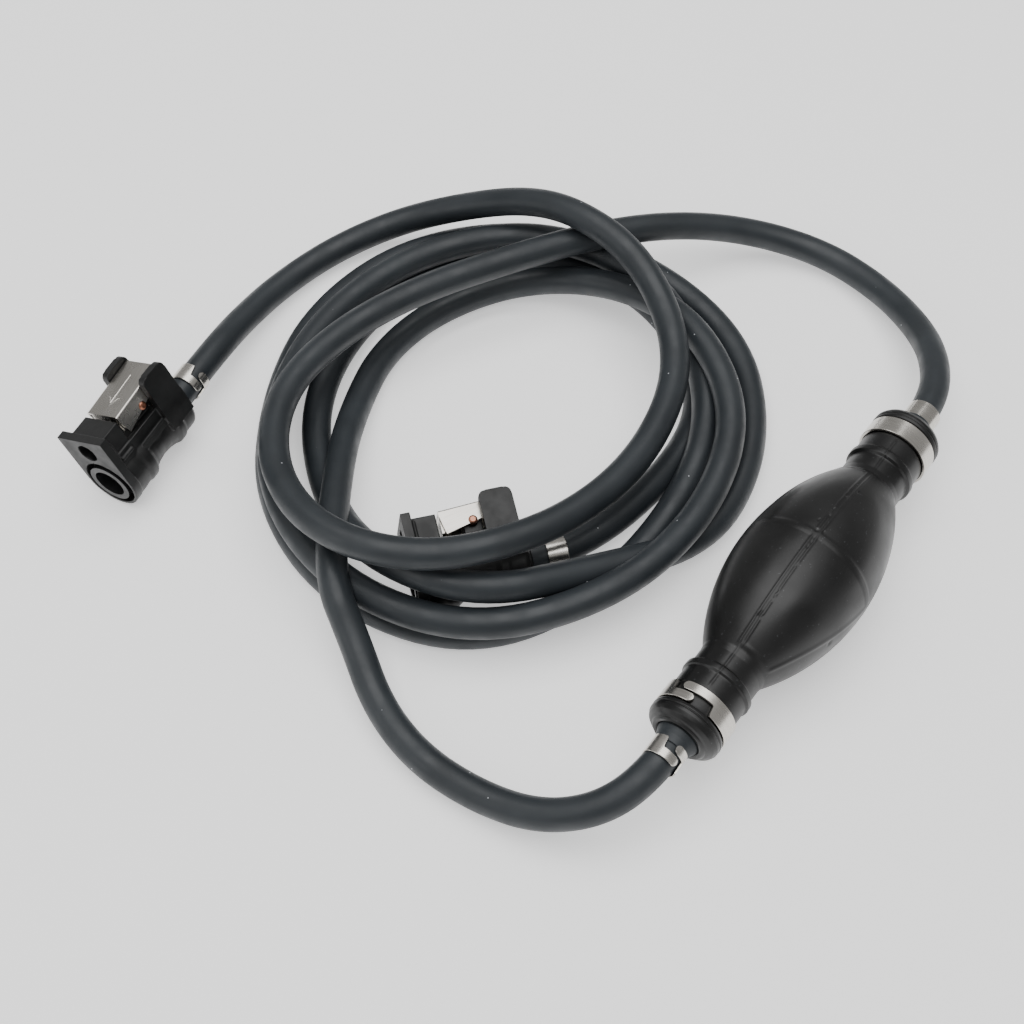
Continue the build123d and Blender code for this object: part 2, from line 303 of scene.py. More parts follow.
def prism(outline: Outline, low: float, high: float, along: str = "x") -> Mesh:
    """A closed prism of an outline, drawn across one axis.

    Args:
        outline: points on the two other axes, in x, y, z order.
        low: where the prism starts on its axis.
        high: where it ends.
        along: the axis, "x", "y" or "z".

    Returns:
        The closed mesh.
    """
    index = "xyz".index(along)
    form = bmesh.new()
    ends = []
    for level in (low, high):
        points = [list(p) for p in outline]
        for p in points:
            p.insert(index, level)
        ends.append([form.verts.new(p) for p in points])
    form.faces.new(ends[0])
    form.faces.new(ends[1])
    for k in range(len(outline)):
        after = (k + 1) % len(outline)
        form.faces.new((ends[0][k], ends[0][after], ends[1][after], ends[1][k]))
    return finish_form(form)


def slab(x: tuple[float, float], y: tuple[float, float], z: tuple[float, float]) -> Mesh:
    """A box.

    Args:
        x: its limits along x.
        y: its limits along y.
        z: its limits along z.

    Returns:
        The closed mesh.
    """
    return prism([(y[0], z[0]), (y[1], z[0]), (y[1], z[1]), (y[0], z[1])], *x)


def rod(radius: float, x0: float, x1: float, z: float = 0.0, sides: int = 64) -> Mesh:
    """A cylinder along local x.

    Args:
        radius: its radius.
        x0: where it starts.
        x1: where it ends.
        z: height of its axis.
        sides: steps around it.

    Returns:
        The closed mesh.
    """
    mesh = lathe([(x0, 0), (x0, radius), (x1, radius), (x1, 0)], sides)
    mesh.transform(Matrix.Translation((0, 0, z)))
    return mesh


def cross_rod(radius: float, half_length: float, x: float, z: float, sides: int = 48) -> Mesh:
    """A cylinder along local y.

    Args:
        radius: its radius.
        half_length: how far it reaches to each side.
        x: place of its axis along x.
        z: height of its axis.
        sides: steps around it.

    Returns:
        The closed mesh.
    """
    mesh = rod(radius, -half_length, half_length, sides=sides)
    mesh.transform(Matrix.Translation((x, 0, z)) @ Matrix.Rotation(math.pi / 2, 4, "Z"))
    return mesh


# ---- finishes -----------------------------------------------------------------------
@dataclass(frozen=True)
class Finish:
    """A surface finish that builds one material.

    The base class is a plain moulded or extruded surface with fine grain and uneven gloss.
    """

    name: str
    colour: str
    other_colour: str
    roughness: float
    grain_mm: float = 0.6
    grain_depth_mm: float = 0.02
    metallic: float = 0.0
    ior: float = 1.5

    def build(self) -> bpy.types.Material:
        """Make the material.

        Returns:
            The finished material.
        """
        material = bpy.data.materials.new(self.name)
        material.use_nodes = True
        tree = material.node_tree
        tree.nodes.clear()
        surface = add_node(tree, "ShaderNodeBsdfPrincipled",
                           {"Metallic": self.metallic, "IOR": self.ior, "Roughness": self.roughness})
        output = add_node(tree, "ShaderNodeOutputMaterial")
        tree.links.new(surface.outputs["BSDF"], output.inputs["Surface"])
        self.dress(tree, surface)
        return material

    def coordinates(self, tree: Tree) -> Socket:
        """Read the piece's own place.

        Args:
            tree: the material's tree.

        Returns:
            The place in metres.
        """
        return add_node(tree, "ShaderNodeTexCoord").outputs["Object"]

    def noise(self, tree: Tree, size_mm: float, detail: float = 3.0,
              vector: Socket | None = None) -> Socket:
        """Noise whose grains are size_mm across.

        Args:
            tree: the material's tree.
            size_mm: width of one grain.
            detail: octaves of finer grain.
            vector: where to read it, or None for the piece's own place.

        Returns:
            The noise value, about 0.5 in the middle.
        """
        place_in = vector or self.coordinates(tree)
        return add_node(tree, "ShaderNodeTexNoise",
                        {"Vector": place_in, "Scale": 1000 / size_mm, "Detail": detail}).outputs["Fac"]

    def spread(self, tree: Tree, value: Socket, low: float, high: float,
               start: float = 0.35, end: float = 0.65) -> Socket:
        """Stretch a value from start..end to low..high.

        Args:
            tree: the material's tree.
            value: the value to stretch.
            low: result at start.
            high: result at end.
            start: lowest value read.
            end: highest value read.

        Returns:
            The stretched value.
        """
        ranged = add_node(tree, "ShaderNodeMapRange", {"Value": value, "From Min": start, "From Max": end,
                                                       "To Min": low, "To Max": high})
        return ranged.outputs["Result"]

    def blend(self, tree: Tree, amount: Socket, first: object, second: object) -> Socket:
        """Mix two colours.

        Args:
            tree: the material's tree.
            amount: share of the second colour, from 0 to 1.
            first: a colour or a socket.
            second: a colour or a socket.

        Returns:
            The mixed colour.
        """
        mix = add_node(tree, "ShaderNodeMix", {0: amount, 6: first, 7: second}, data_type="RGBA")
        return mix.outputs[2]

    def two_tone(self, tree: Tree, cloud: Socket) -> Socket:
        """Drift between the finish's two colours.

        Args:
            tree: the material's tree.
            cloud: the noise that it follows.

        Returns:
            The colour.
        """
        amount = self.spread(tree, cloud, 0.0, 1.0)
        return self.blend(tree, amount, linear(self.colour), linear(self.other_colour))

    def cover(self, tree: Tree, surface: bpy.types.Node, tone: Socket, smudge: Socket,
              gloss: tuple[float, float], grain: Socket) -> None:
        """Link colour, gloss and grain to the shader.

        Args:
            tree: the material's tree.
            surface: its shader.
            tone: the colour.
            smudge: the noise that the gloss follows.
            gloss: how far the roughness falls and rises from its middle.
            grain: height of the fine grain, from 0 to 1.
        """
        rough = self.spread(tree, smudge, self.roughness - gloss[0], self.roughness + gloss[1])
        bump = add_node(tree, "ShaderNodeBump",
                        {"Height": grain, "Distance": self.grain_depth_mm * MM, "Strength": 1.0})
        for socket, value in (("Base Color", tone), ("Roughness", rough), ("Normal", bump.outputs["Normal"])):
            tree.links.new(value, surface.inputs[socket])

    def dress(self, tree: Tree, surface: bpy.types.Node) -> None:
        """Colour, gloss and grain of a plain moulding.

        Args:
            tree: the material's tree.
            surface: its shader.
        """
        tone = self.two_tone(tree, self.noise(tree, 14.0))
        self.cover(tree, surface, tone, self.noise(tree, 5.0), (0.06, 0.08), self.noise(tree, self.grain_mm))


@dataclass(frozen=True)
class HoseRubber(Finish):
    """Extruded blue-grey rubber: satin, a little bloom, and white specks of talc that catch the eye."""

    speck_spacing_mm: float = 9.0
    speck_radius_mm: float = 0.32
    speck_colour: str = "c9ccd0"

    def dress(self, tree: Tree, surface: bpy.types.Node) -> None:
        """Blooming rubber with talc specks.

        Args:
            tree: the material's tree.
            surface: its shader.
        """
        tone = self.two_tone(tree, self.noise(tree, 26.0, 4.0))
        cells = add_node(tree, "ShaderNodeTexVoronoi",
                         {"Vector": self.coordinates(tree), "Scale": 1000 / self.speck_spacing_mm})
        edge = self.speck_radius_mm / self.speck_spacing_mm
        speck = self.spread(tree, cells.outputs["Distance"], 1.0, 0.0, edge * 0.6, edge)
        tone = self.blend(tree, speck, tone, linear(self.speck_colour))
        self.cover(tree, surface, tone, self.noise(tree, 9.0), (0.07, 0.09), self.noise(tree, self.grain_mm))


@dataclass(frozen=True)
class BulbRubber(Finish):
    """Moulded black rubber from a polished tool: deep black, glossier where it was handled, with dust."""

    dust_colour: str = "55575a"

    def dress(self, tree: Tree, surface: bpy.types.Node) -> None:
        """Handled black rubber.

        Args:
            tree: the material's tree.
            surface: its shader.
        """
        smear = self.noise(tree, 22.0, 5.0)
        dust = self.spread(tree, self.noise(tree, 1.1, 1.0), 0.0, 0.35, 0.70, 0.78)
        tone = self.blend(tree, dust, self.two_tone(tree, smear), linear(self.dust_colour))
        self.cover(tree, surface, tone, smear, (0.08, 0.12), self.noise(tree, self.grain_mm, 2.0))


@dataclass(frozen=True)
class BrushedStainless(Finish):
    """Rolled stainless strip: bright, with fine lines along the strip that stretch each highlight."""

    line_mm: float = 0.35
    line_length_mm: float = 22.0

    def dress(self, tree: Tree, surface: bpy.types.Node) -> None:
        """Lines along the strip, read from the piece's own flat map in metres.

        Args:
            tree: the material's tree.
            surface: its shader.
        """
        flat = add_node(tree, "ShaderNodeUVMap", uv_map="flat").outputs["UV"]
        stretched = add_node(tree, "ShaderNodeMapping",
                             {"Vector": flat, "Scale": (1000 / self.line_length_mm, 1000 / self.line_mm, 1.0)})
        lines = add_node(tree, "ShaderNodeTexNoise",
                         {"Vector": stretched.outputs["Vector"], "Scale": 1.0, "Detail": 1.0}).outputs["Fac"]
        self.cover(tree, surface, self.two_tone(tree, lines), self.noise(tree, 9.0), (0.03, 0.05), lines)


class Palette(Enum):
    """The finishes of the fuel line, each with the row's material slot that it belongs to."""

    HOSE = ("hose_rubber", HoseRubber("extruded_hose_rubber", "24292d", "2d3236", 0.47, 0.5, 0.012))
    BULB = ("bulb_rubber", BulbRubber("moulded_bulb_rubber", "0b0b0b", "121212", 0.36, 0.9, 0.012))
    STAINLESS = ("stainless", BrushedStainless("rolled_stainless_strip", "cbc7c0", "d6d2cb", 0.25,
                                               grain_depth_mm=0.0004, metallic=1.0))
    COPPER = ("copper_pin", Finish("coppered_rivet", "a9705a", "c08d78", 0.33, 0.5, 0.02, metallic=1.0))
    BODY = ("coupling_plastic", Finish("spark_textured_acetal", "101111", "181818", 0.44, 0.35, 0.02, ior=1.48))
    PORT = ("port_plastic", Finish("turned_dark_acetal", "151516", "1d1e1e", 0.36, 0.5, 0.008, ior=1.48))
    VALVE = ("valve_plastic", Finish("natural_acetal", "d9d8d0", "e4e3dc", 0.40, 0.5, 0.01, ior=1.48))
    SEAL = ("seal_rubber", Finish("nitrile_rubber", "161616", "1e1e1e", 0.5, 0.5, 0.01))
    WIRE = ("spring_steel", Finish("drawn_spring_wire", "a9a7a2", "c0beb9", 0.3, 0.4, 0.003, metallic=1.0))

    def material(self) -> bpy.types.Material:
        """Fetch the finish's material, made on first use.

        Returns:
            The material.
        """
        finish = self.value[1]
        return bpy.data.materials.get(finish.name) or finish.build()

    @property
    def slot(self) -> str:
        """The row's material slot.

        Returns:
            Its name.
        """
        return self.value[0]


def adopt(piece: Piece, body: str, finish: Palette, *nodes: str) -> Piece:
    """Make a new piece ride a body and stand for CAD nodes.

    Args:
        piece: the new piece.
        body: the body that it moves with.
        finish: its finish, which names the slot; not used.
        nodes: the CAD nodes that it replaces.

    Returns:
        The same piece.
    """
    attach(piece, body)
    if nodes:
        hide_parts(*nodes)
    LOG.info("%s: %d faces", piece.name, len(piece.data.polygons) if piece.type == "MESH" else 0)
    return piece


# ---- bulb ---------------------------------------------------------------------------
@dataclass
class SqueezeBulb:
    """The moulded rubber bulb, with its mould lines, necks and ribbed lips."""

    belly_radius: float = 26.2
    side_arc_radius: float = 90.0
    wall: float = 3.0
    neck_radius: float = 12.4
    collar_radius: float = 12.9
    lip_hole_radius: float = 7.0
    seam_deg: float = 2.0           # where the parting line lies, from straight up towards -y
    panel_deg: float = 62.0         # how far round the raised panels reach at the neck
    panel_grows_deg: float = 22.0   # the near panel reaches this much further at the belly
    panel_x: float = 1.5            # the raised line round the belly
    neck_x: float = 45.5            # where the belly meets the neck
    line_height: float = 0.30
    line_half_width: float = 0.5
    bore_radius: float = 9.6        # inside the necks
    segments: int = 320
    pits: list[tuple[float, float, float]] = field(default_factory=list)

    def belly(self, x: float, skin: float = 0.0) -> float:
        """Radius of the belly's arc.

        Args:
            x: place along the axis.
            skin: thickness taken off the outside.

        Returns:
            The radius.
        """
        arc = self.side_arc_radius - skin
        return self.belly_radius - skin - (arc - math.sqrt(arc * arc - x * x))

    def outside(self) -> Outline:
        """The outer profile of one half, from the middle to the lip's hole.

        Returns:
            Points of (x, radius).
        """
        meet = math.sqrt(self.side_arc_radius ** 2
                         - (self.side_arc_radius - self.belly_radius + self.neck_radius) ** 2)
        rows = 76
        belly = [(meet * k / rows, self.belly(meet * k / rows)) for k in range(rows)]
        neck = rounded([
            (meet - 0.4, self.neck_radius + 0.35), (meet + 2.0, self.neck_radius), (56.2, self.neck_radius),
            (56.9, 13.6), (59.3, 13.7), (60.0, self.collar_radius), (67.4, self.collar_radius),
            (67.8, 12.6), (75.9, 12.6), (76.3, 13.9), (77.6, 14.2), (78.0, 13.75), (78.4, 14.1),
            (79.6, 14.0), (81.0, 13.2), (82.1, 11.8), (82.5, 10.9), (82.9, 10.6), (83.4, 10.0),
            (83.4, 8.8), (82.8, 8.2), (82.4, self.lip_hole_radius),
        ], 0.5, 3, closed=False)
        return belly + self.refined(neck, 0.9)

    @staticmethod
    def refined(line: Outline, step: float) -> Outline:
        """Split an outline's long runs, so that relief has rows to show on.

        Args:
            line: the outline.
            step: the wanted distance between points.

        Returns:
            The same outline with more points.
        """
        result: Outline = []
        for (x0, r0), (x1, r1) in zip(line, line[1:]):
            count = max(1, round(math.hypot(x1 - x0, r1 - r0) / step))
            result += [(x0 + (x1 - x0) * k / count, r0 + (r1 - r0) * k / count) for k in range(count)]
        return result + [line[-1]]

    def inside(self) -> Outline:
        """The inner profile of one half, from the lip's hole to the middle.

        Returns:
            Points of (x, radius).
        """
        cavity = [(x, self.belly(x, self.wall)) for x in (46.0, 40.0, 32.0, 24.0, 16.0, 8.0, 0.0)]
        neck = [(x, self.bore_radius) for x in (80.0, 54.0, 46.2)]
        return [(80.2, self.lip_hole_radius)] + neck + cavity

    def relief(self, x: float, radius: float, angle: float) -> float:
        """Height of the mould lines above the plain outside.

        Args:
            x: place along the axis.
            radius: plain radius there.
            angle: direction from the parting line, in radians, positive towards -y.

        Returns:
            Height in millimetres, negative in a pit.
        """
        turn = (angle + math.pi) % (2 * math.pi) - math.pi
        height = 0.0
        on_belly = abs(x) < self.neck_x + 1.0
        for seam in (0.0, math.pi):
            across = radius * ((turn - seam + math.pi) % (2 * math.pi) - math.pi)
            for offset in ((-0.9, 0.9) if on_belly else (0.0,)):
                height = max(height, self.ridge(across - offset, 0.8 if on_belly else 0.5))
        edge = math.radians(self.panel_deg)
        grown = math.radians(self.panel_grows_deg) * (x + self.neck_x) / (self.panel_x + self.neck_x)
        if -edge < turn < edge + math.radians(self.panel_grows_deg):
            for offset in (-0.6, 0.6):
                height = max(height, self.ridge(x - self.panel_x - offset, 0.9))
        if -self.neck_x < x < self.panel_x:
            height = max(height, self.ridge(radius * (turn - edge - grown), widen=1.7))
        if self.panel_x < x < self.neck_x:
            height = max(height, self.ridge(radius * (turn + edge), widen=1.7))
        if 0 < turn < edge:
            height = max(height, self.ridge(x + self.neck_x))
        if -edge < turn < 0:
            height = max(height, self.ridge(x - self.neck_x))
        for pit_x, pit_across, size in self.pits:
            gap = math.hypot(x - pit_x, radius * turn - pit_across)
            if gap < size:
                height -= 0.4 * (1 - (gap / size) ** 2)
        return height

    def ridge(self, distance: float, share: float = 1.0, widen: float = 1.0) -> float:
        """Height of a mould line.

        Args:
            distance: how far the place is from the line's middle.
            share: the line's height, as a share of line_height.
            widen: the line's width, as a share of its usual width.

        Returns:
            The height in millimetres.
        """
        return share * self.line_height * math.exp(-(distance / (widen * self.line_half_width)) ** 2)

    def mesh(self) -> Mesh:
        """Draw the bulb as one closed wall.

        Returns:
            The mesh in the bulb's own frame.
        """
        chance = random.Random(7)
        self.pits = [(chance.uniform(-40, 42), chance.gauss(0, 1.2), chance.uniform(0.4, 0.8)) for _ in range(16)]
        self.pits += [(18.0, 36.0, 1.3), (-21.0, 33.0, 1.2)]
        half = self.outside() + self.inside()
        mirrored = [(-x, r) for x, r in reversed(half)][1:-1]
        mesh = lathe(half + mirrored, self.segments, ring=True, bunch=0.3)
        skin = self.collar_radius - 1.2
        for vertex in mesh.vertices:
            x, y, z = vertex.co
            radius = math.hypot(y, z)
            if abs(x) < 66 and radius > (self.belly(x) - 1.5 if abs(x) < self.neck_x else skin):
                angle = math.atan2(-y, z) - math.radians(self.seam_deg)
                grown = (radius + self.relief(x, radius, angle)) / radius
                vertex.co = (x, y * grown, z * grown)
        return mesh

    def build(self) -> None:
        """Make the bulb and the cones of hose at its ends."""
        piece = place(self.mesh(), "squeeze_bulb", along_x_frame(), Palette.BULB.material(), 50)
        adopt(piece, "root", Palette.BULB, "bulb")
        for side, end in ((-1, "inlet"), (1, "outlet")):
            cone = rounded([(81.0, 6.02), (81.0, 8.2), (83.4, 8.1), (85.6, 7.1), (88.4, 6.5), (88.4, 6.02)], 0.8)
            piece = place(lathe(cone, 64, ring=True), f"hose_cone_{end}", along_x_frame(side),
                          Palette.HOSE.material(), 60)
            adopt(piece, "root", Palette.HOSE)


# ---- clamps -------------------------------------------------------------------------
@dataclass
class LockBand:
    """A strip bent into a ring whose two half-width tongues pass side by side and lock.

    Lengths along the strip are counted from lock_deg, which is measured from local up towards -y.
    """

    radius: float
    width: float
    start_x: float
    thickness: float = 0.45
    lock_deg: float = 0.0
    turn: int = 1                   # which way round the strip runs
    first_step: float = 5.5         # the full width starts here
    first_tip: float = -7.0         # end of the first tongue
    second_tip: float = -1.0        # end of the second tongue, past one full turn
    second_step: float = -10.0
    share: float = 0.45             # a tongue's share of the width
    first_low: bool = True          # whether the first tongue is at the low-x edge
    creased: bool = False

    def reach(self, along: float, round_trip: float) -> tuple[float, float]:
        """The strip's two edges at a place along it.

        Args:
            along: place along the strip.
            round_trip: the ring's length.

        Returns:
            Low and high edge, as widths from the low-x edge.
        """
        blend_in = self.eased((along - self.first_step) / 1.1)
        blend_out = self.eased((round_trip + self.second_step - along) / 1.1)
        narrow = self.share * self.width
        low = (self.width - narrow) * (1 - blend_out)
        high = narrow + (self.width - narrow) * blend_in
        half = narrow / 2
        for distance in (along - self.first_tip, round_trip + self.second_tip - along):
            if distance < half:
                inset = half - math.sqrt(max(half * half - (half - distance) ** 2, 0.0))
                low, high = low + inset, high - inset
        return (low, high) if self.first_low else (self.width - high, self.width - low)

    @staticmethod
    def eased(t: float) -> float:
        """A smooth step.

        Args:
            t: how far along the step, 0 before it and 1 after it.

        Returns:
            A value from 0 to 1.
        """
        t = min(max(t, 0.0), 1.0)
        return t * t * (3 - 2 * t)

    def mesh(self) -> Mesh:
        """Bend the strip into its ring.

        Returns:
            The closed mesh, with its flat map in metres.
        """
        round_trip = 2 * math.pi * self.radius
        start, end = self.first_tip + 0.02, round_trip + self.second_tip - 0.02
        count, chamfer = 360, 0.14
        form = bmesh.new()
        flat = form.loops.layers.uv.new("flat")
        rows, marks = [], []
        for k in range(count + 1):
            along = start + (end - start) * k / count
            low, high = self.reach(along, round_trip)
            c = min(chamfer, (high - low) / 4)
            crease = 0.35 * math.exp(-((along - round_trip / 3) / 0.5) ** 2) if self.creased else 0.0
            inner, outer = self.radius, self.radius + self.thickness + crease
            across = [(low, inner), (low, outer - c), (low + c, outer)]
            across += [(low + (high - low) * t, outer) for t in (0.25, 0.5, 0.75)]
            across += [(high - c, outer), (high, outer - c), (high, inner)]
            angle = math.radians(self.lock_deg) + self.turn * along / self.radius
            rows.append([form.verts.new((self.start_x + u, -r * math.sin(angle), r * math.cos(angle)))
                         for u, r in across])
            marks.append([(along * MM, u * MM) for u, _ in across])
        join_rows(form, flat, rows, marks, closed=True)
        form.faces.new(rows[0])
        form.faces.new(rows[-1])
        return finish_form(form)

    def build(self, name: str, frame_of: Matrix, node: str) -> Piece:
        """Make the band in place of its CAD node.

        Args:
            name: the piece's name.
            frame_of: the frame that the band's axis is the x axis of.
            node: the CAD node.

        Returns:
            The piece.
        """
        piece = place(self.mesh(), name, frame_of, Palette.STAINLESS.material(), 40)
        return adopt(piece, "root", Palette.STAINLESS, node)


# ---- hoses --------------------------------------------------------------------------
@dataclass
class Hose:
    """A free hose along one smooth line."""

    name: str
    route: list[Point]

    def build(self, length: float, lay: str, far_end: str, nodes: list[str],
              pieces: list[Piece]) -> Piece:
        """Args:
            length: its real length in metres; not used.
            lay: how it lies; not used.
            far_end: what it ends in; not used.
            nodes: the CAD nodes that it replaces.
            pieces: the separate pieces on it; not used.

        Returns:
            The hose.
        """
        curve = bpy.data.curves.new(self.name, "CURVE")
        curve.dimensions = "3D"
        curve.resolution_u = 10
        curve.bevel_depth = HOSE_R * MM
        curve.bevel_resolution = 7
        curve.use_fill_caps = True
        spline = curve.splines.new("NURBS")
        spline.points.add(len(self.route) - 1)
        for point, (x, y, z) in zip(spline.points, self.route):
            point.co = (x * MM, y * MM, z * MM, 1.0)
        spline.order_u = 3
        spline.use_endpoint_u = True
        curve.materials.append(Palette.HOSE.material())
        piece = new_object(self.name, curve)
        adopt(piece, "root", Palette.HOSE, *nodes)
        return piece


@dataclass
class LooseCoil:
    """The coiled turns of the inlet hose.

    Each row is one turn, clockwise from the -x side: how far out from the middle the hose lies,
    and how high its axis is, every 30 degrees.
    """

    middle: tuple[float, float] = (5.0, 140.0)
    first_deg: float = 150.0
    reach: tuple[tuple[int, ...], ...] = (
        (69, 60, 62, 67, 76, 78, 84, 91, 92, 98, 105, 103),
        (98, 89, 88, 90, 93, 91, 84, 81, 79, 87, 103, 103),
        (99, 93, 98, 104, 102, 100, 105, 100, 97, 84, 96, 88),
        (77, 77, 80, 89, 94, 92, 85, 77),
    )
    height: tuple[tuple[int, ...], ...] = (
        (16, 7, 6, 6, 8, 20, 27, 23, 20, 21, 18, 17),
        (17, 16, 15, 17, 20, 20, 17, 15, 9, 6, 6, 6),
        (6, 6, 6, 6, 10, 12, 7, 7, 8, 18, 30, 21),
        (6, 6, 6, 6, 6, 6, 6, 6),
    )
    outset: float = 1.035           # the smooth line runs this much inside its points

    def points(self) -> list[Point]:
        """The turns' points, in order.

        Returns:
            Points in millimetres.
        """
        result: list[Point] = []
        steps = [pair for reach, height in zip(self.reach, self.height) for pair in zip(reach, height)]
        for k, (reach, height) in enumerate(steps):
            angle = math.radians(self.first_deg - 30 * k)
            radius = reach * self.outset
            result.append((self.middle[0] + radius * math.cos(angle),
                           self.middle[1] + radius * math.sin(angle), float(height)))
        return result


# ---- couplings ----------------------------------------------------------------------
@dataclass
class QuickCoupling:
    """One quick coupling, drawn once and placed by its joints' axes."""

    prefix: str
    pin_x: float = 27.0
    pin_z: float = 17.4
    plate_half: float = 12.3
    plate_top: float = 24.0
    deck_z: float = 12.5
    voxel: float = 0.30             # edges come out rounded by about this much
    clamp: LockBand | None = None

    def matrix(self) -> Matrix:
        """The coupling's frame in the row, from the valve's and the lever's axes.

        Returns:
            The frame, from millimetres to metres.
        """
        forward = Vector(joint_named(f"{self.prefix}_shutoff_push")["axis"]).normalized()
        hinge = joint_named(f"{self.prefix}_latch_press")
        sideways = Vector(hinge["axis"]).normalized()
        upward = forward.cross(sideways)
        origin = Vector(hinge["pos_m"]) - forward * self.pin_x * MM - upward * self.pin_z * MM
        turned = Matrix((forward, sideways, upward)).transposed().to_4x4()
        return Matrix.Translation(origin) @ turned @ Matrix.Scale(MM, 4)

    def node(self, part: str) -> str:
        """The full name of one of this coupling's CAD nodes.

        Args:
            part: the name without the coupling's own.

        Returns:
            The full name.
        """
        return f"{self.prefix}_coupling_{part}"

    def hose_run(self) -> list[Point]:
        """Where the hose comes in, along the coupling's axis.

        Returns:
            Points in millimetres in the row's frame.
        """
        here = self.matrix()
        return [tuple((here @ Vector((x, 0, 0))) / MM) for x in (70.0, 46.0)]

    def nodes(self) -> list[Piece]:
        """The CAD nodes that stay.

        Returns:
            Their objects.
        """
        kept = ("port_sleeve", "seat_washer", "poppet", "stem_guide")
        return [frame["nodes"][self.node(part)] for part in kept]

    def body_adds(self) -> list[Mesh]:
        """The solid shapes that the moulded body is made of.

        Returns:
            Closed meshes, which overlap.
        """
        half = self.plate_half
        arc = [(half * math.cos(a), half * math.sin(a))
               for a in (math.pi + math.pi * k / 32 for k in range(33))]
        shield = arc + [(half, self.plate_top), (-half, self.plate_top)]
        ear = rounded([(30.5, 0.0), (43.5, 0.0), (43.5, 27.0), (30.5, 27.0)], 3.2, 6)
        waist = rounded([
            (0.5, 0), (0.5, 12.0), (8.0, 12.0), (10.8, 11.7), (12.6, 12.3), (15.4, 12.3), (17.4, 10.9),
            (20, 10.1), (24, 9.7), (28, 10.1), (31.2, 11.0), (33, 12.0), (35.6, 12.0), (37, 11.3),
            (42.6, 11.3), (44.2, 10.2), (44.2, 0),
        ], 1.2, 4, closed=False)
        tail = [(44, 0), (44, 6.7), (45.7, 6.7), (45.7, 4.1), (50, 4.1), (50, 0)]
        shapes = [
            prism(shield, 0.0, 3.8),
            slab((3.0, 13.3), (-9.0, 9.0), (2.0, 22.4)),
            slab((3.0, 12.6), (-9.9, 9.9), (2.0, 8.6)),
            slab((3.0, 43.8), (-9.6, 9.6), (0.0, self.deck_z)),
            slab((30.5, 43.9), (-12.0, 12.0), (0.0, 11.5)),
            slab((self.pin_x - 3.8, self.pin_x + 3.8), (-5.6, 5.6), (8.0, self.pin_z + 3.0)),
            lathe(waist, 96), lathe(tail, 64),
        ]
        ribs = (((15.8, 31.0), (9.0, 11.1), (4.2, 7.0)), ((5.4, 12.2), (9.0, 10.5), (9.2, 10.4)),
                ((3.0, 5.0), (8.4, 11.2), (12.0, 21.0)))
        for side in (-1, 1):
            shapes.append(prism(ear, *sorted((side * 8.7, side * 12.0)), "y"))
            for x, (near, far), z in ribs:
                shapes.append(slab(x, tuple(sorted((side * near, side * far))), z))
        return shapes

    def body_cuts(self) -> list[Mesh]:
        """The shapes cut from the moulded body.

        Returns:
            Closed meshes.
        """
        groove = lathe([(-1, 8.8), (-1, 11.0), (4.6, 11.0), (4.6, 8.8)], 96, ring=True)
        return [
            groove, rod(8.9, -1.0, 11.0, sides=96), rod(6.2, 9.0, 31.0), rod(2.6, 30.0, 60.0),
            rod(4.2, -1.0, 14.5, z=17.2), cross_rod(1.62, 20.0, self.pin_x, self.pin_z),
            slab((14.0, 22.0), (-7.2, 7.2), (11.6, 14.0)),
        ]

    def moulded_body(self) -> Mesh:
        """Fuse and cut the body's shapes, then soften every edge as a mould does.

        Returns:
            The body's mesh in the coupling's frame.
        """
        groups = []
        for label, shapes in (("adds", self.body_adds()), ("cuts", self.body_cuts())):
            group = bpy.data.collections.new(f"{self.prefix}_{label}")
            bpy.context.scene.collection.children.link(group)
            for shape in shapes:
                group.objects.link(bpy.data.objects.new(label, shape))
            groups.append(group)
        seed = groups[0].objects[0]
        blank = new_object("blank", seed.data.copy())
        for group, operation in zip(groups, ("UNION", "DIFFERENCE")):
            cut = blank.modifiers.new(operation.lower(), "BOOLEAN")
            cut.operation = operation
            cut.operand_type = "COLLECTION"
            cut.collection = group
            cut.solver = "EXACT"
        remesh = blank.modifiers.new("skin", "REMESH")
        remesh.mode = "VOXEL"
        remesh.voxel_size = self.voxel
        soften = blank.modifiers.new("soften", "SMOOTH")
        soften.factor = 0.5
        soften.iterations = 2
        thin = blank.modifiers.new("thin", "DECIMATE")
        thin.ratio = 0.35
        mesh = baked(blank)
        for group in groups:
            for item in list(group.objects):
                bpy.data.objects.remove(item)
            bpy.data.collections.remove(group)
        return mesh

    def pressed_lever(self) -> Mesh:
        """Fold the latch lever from one sheet, with the arrow stamped in its top.

        Returns:
            The lever's mesh in the coupling's frame, with its flat map in metres.
        """
        half, bend, thickness = 8.5, 0.8, 1.0
        start_x, end_x = 14.6, 42.1
        start_z, end_z = 23.4, 25.0
        lengthways, crossways = 190, 84
        form = bmesh.new()
        flat = form.loops.layers.uv.new("flat")
        rows, marks = [], []
        for k in range(lengthways + 1):
            x = start_x + (end_x - start_x) * k / lengthways
            top = start_z + (end_z - start_z) * k / lengthways
            row, row_marks = [], []
            for y, z, distance in self.folded_path(half, bend, top, self.cheek_edge(x), crossways):
                sunk = self.arrow_depth(x, y) if abs(y) < half - bend else 0.0
                row.append(form.verts.new((x, y, z - sunk)))
                row_marks.append((x * MM, distance * MM))
            rows.append(row)
            marks.append(row_marks)
        join_rows(form, flat, rows, marks, closed=False)
        mesh = bpy.data.meshes.new("draft")
        form.to_mesh(mesh)
        form.free()
        holder = new_object("draft", mesh)
        wall = holder.modifiers.new("wall", "SOLIDIFY")
        wall.thickness = thickness
        wall.offset = -1.0
        return baked(holder)

